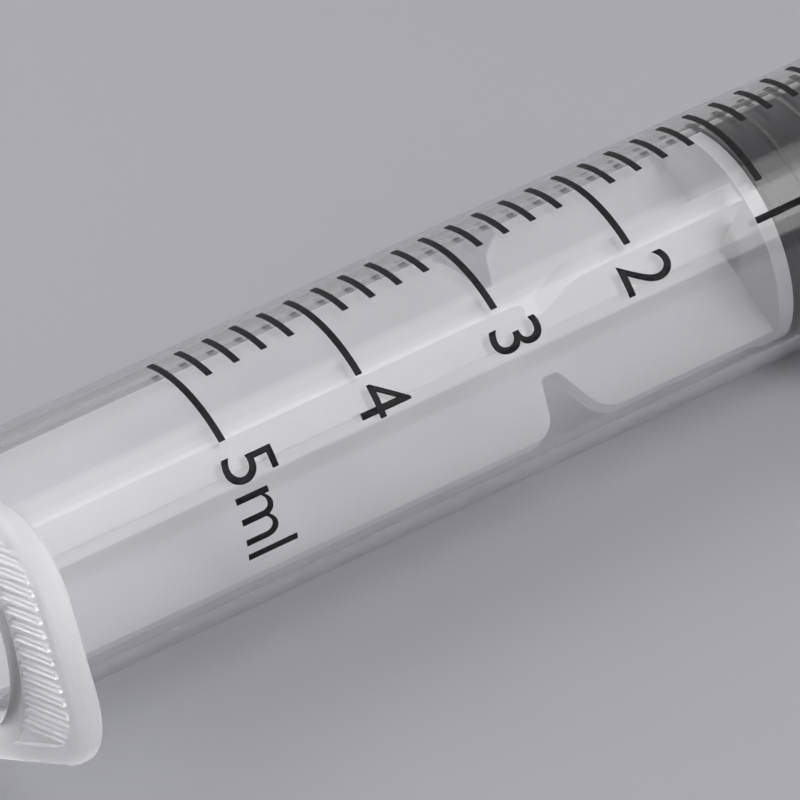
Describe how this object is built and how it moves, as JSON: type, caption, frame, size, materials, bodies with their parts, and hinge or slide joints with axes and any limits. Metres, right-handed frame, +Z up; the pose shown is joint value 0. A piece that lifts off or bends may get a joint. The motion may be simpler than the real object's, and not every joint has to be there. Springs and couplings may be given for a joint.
{
  "type": "feeding syringe",
  "caption": "Small clear syringe for feeding pets: printed barrel with finger flange and slip nozzle, ribbed plunger rod, rubber gasket.",
  "frame": {"origin": "middle of the box round the part, on the surface that it lies on", "axes": "+X towards the nozzle along the length, +Z up from the surface, as it lies on its flange and the front edge of its barrel"},
  "size_m": [0.0806, 0.0272, 0.0172],
  "materials": {
    "clear_barrel": "clear polypropylene, gloss",
    "rod_plastic": "translucent polypropylene, satin",
    "gasket_rubber": "moulded black rubber",
    "scale_ink": "printed black ink"
  },
  "bodies": {
    "barrel": {"barrel": "clear_barrel", "scale_marks": "scale_ink"},
    "seal": {"gasket": "gasket_rubber"},
    "plunger": {"plunger_rod": "rod_plastic"}
  },
  "joints": [
    {"name": "plunger_slide", "type": "slide", "parent": "barrel", "child": "seal", "axis": [0.9996, 0, -0.0297], "range_m": [-0.0444, 0.0008]},
    {"name": "plunger_turn", "type": "hinge", "parent": "seal", "child": "plunger", "pos_m": [0.01916, 0, 0.00718], "axis": [0.9996, 0, -0.0297], "continuous": true}
  ]
}
